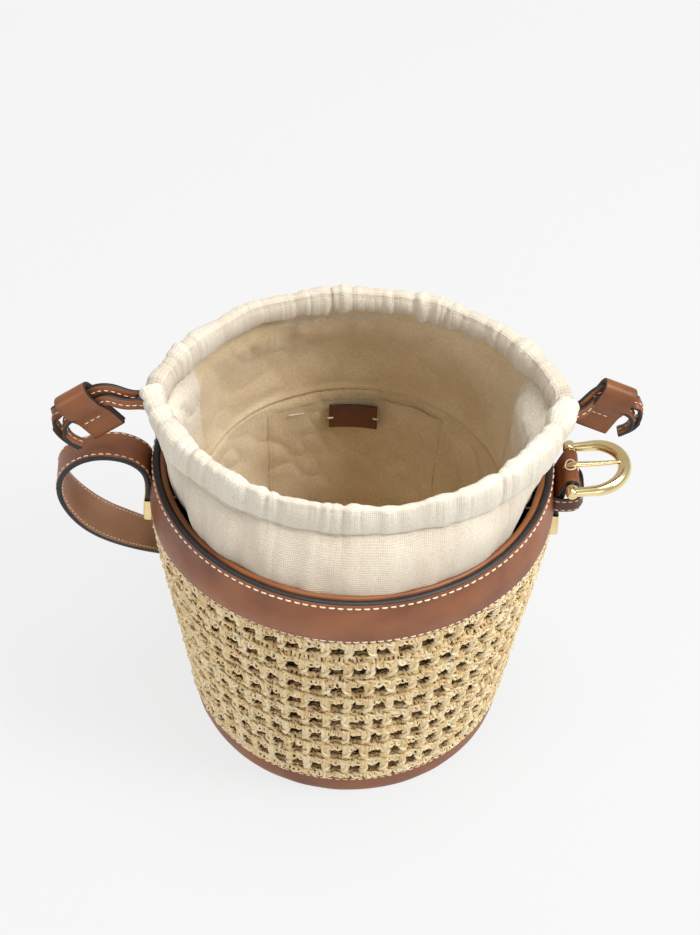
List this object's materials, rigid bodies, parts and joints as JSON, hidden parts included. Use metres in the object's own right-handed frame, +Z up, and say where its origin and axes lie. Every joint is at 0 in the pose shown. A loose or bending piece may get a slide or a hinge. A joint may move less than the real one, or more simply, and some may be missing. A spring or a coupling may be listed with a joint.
{
  "type": "bucket bag",
  "caption": "Round raffia bucket bag with leather bands, gathered linen collar, two drawstrings with sliders, a leather shoulder strap and a side chape with a horseshoe buckle.",
  "frame": {"origin": "centre of the base on the floor", "axes": "+Z up; +X towards the side with the chape and buckle, -X towards the side where the shoulder strap is capped; +Y towards the back, so -Y is the front"},
  "size_m": [0.306, 0.3095, 0.2295],
  "materials": {
    "leather": "smooth vegetable-tanned cowhide, semi-matt, with dark painted edges",
    "piping": "lighter orange-brown leather, semi-matt",
    "raffia": "natural crocheted raffia straw, matt with a slight sheen",
    "linen": "off-white woven linen",
    "lining": "tan woven lining",
    "facing": "dark brown leather strip",
    "board": "stiffening board",
    "thread": "waxed cream thread",
    "brass": "polished light-gold brass"
  },
  "bodies": {
    "bag": {"base_panel": "leather", "base_board": "board", "base_band": "leather", "base_thread": "thread", "raffia_wall": "raffia", "band_facing": "facing", "top_band_front": "leather", "top_band_back": "leather", "rim_thread_top": "thread", "rim_thread_bottom": "thread", "rim_piping": "piping", "lining_bottom": "lining", "lining_lower": "lining", "lining_upper": "lining", "inner_pocket": "lining", "label_patch": "piping", "collar_front": "linen", "collar_back": "linen", "casing_front": "linen", "casing_back": "linen", "strap_outer": "leather", "strap_lining": "leather", "drawstring_front": "leather", "drawstring_back": "leather", "strap_cap": "brass", "strap_screws": "brass", "strap_backing_plate": "brass", "chape_cap": "brass", "chape_screws": "brass", "chape_backing_plate": "brass", "buckle_chape": "leather"},
    "buckle": {"buckle_frame": "brass", "buckle_bar": "brass"},
    "prong": {"buckle_prong": "brass"},
    "left_slider": {"slider_left": "piping"},
    "right_slider": {"slider_right": "piping"},
    "keeper": {"keeper_loop": "leather"}
  },
  "joints": [
    {"name": "buckle_swing", "type": "hinge", "parent": "bag", "child": "buckle", "pos_m": [0.1096, -0.005, 0.1725], "axis": [0, -1, 0], "range_deg": [-65, 15]},
    {"name": "prong_swing", "type": "hinge", "parent": "buckle", "child": "prong", "pos_m": [0.1096, -0.005, 0.1725], "axis": [0, -1, 0], "range_deg": [0, 35]},
    {"name": "slider_left_slide", "type": "slide", "parent": "bag", "child": "left_slider", "axis": [-0.7865, 0, -0.6176], "range_m": [-0.003, 0.003]},
    {"name": "slider_right_slide", "type": "slide", "parent": "bag", "child": "right_slider", "axis": [0.908, 0, -0.419], "range_m": [0, 0.003]},
    {"name": "keeper_slide", "type": "slide", "parent": "bag", "child": "keeper", "axis": [0, 0, 1], "range_m": [0, 0.003]}
  ]
}
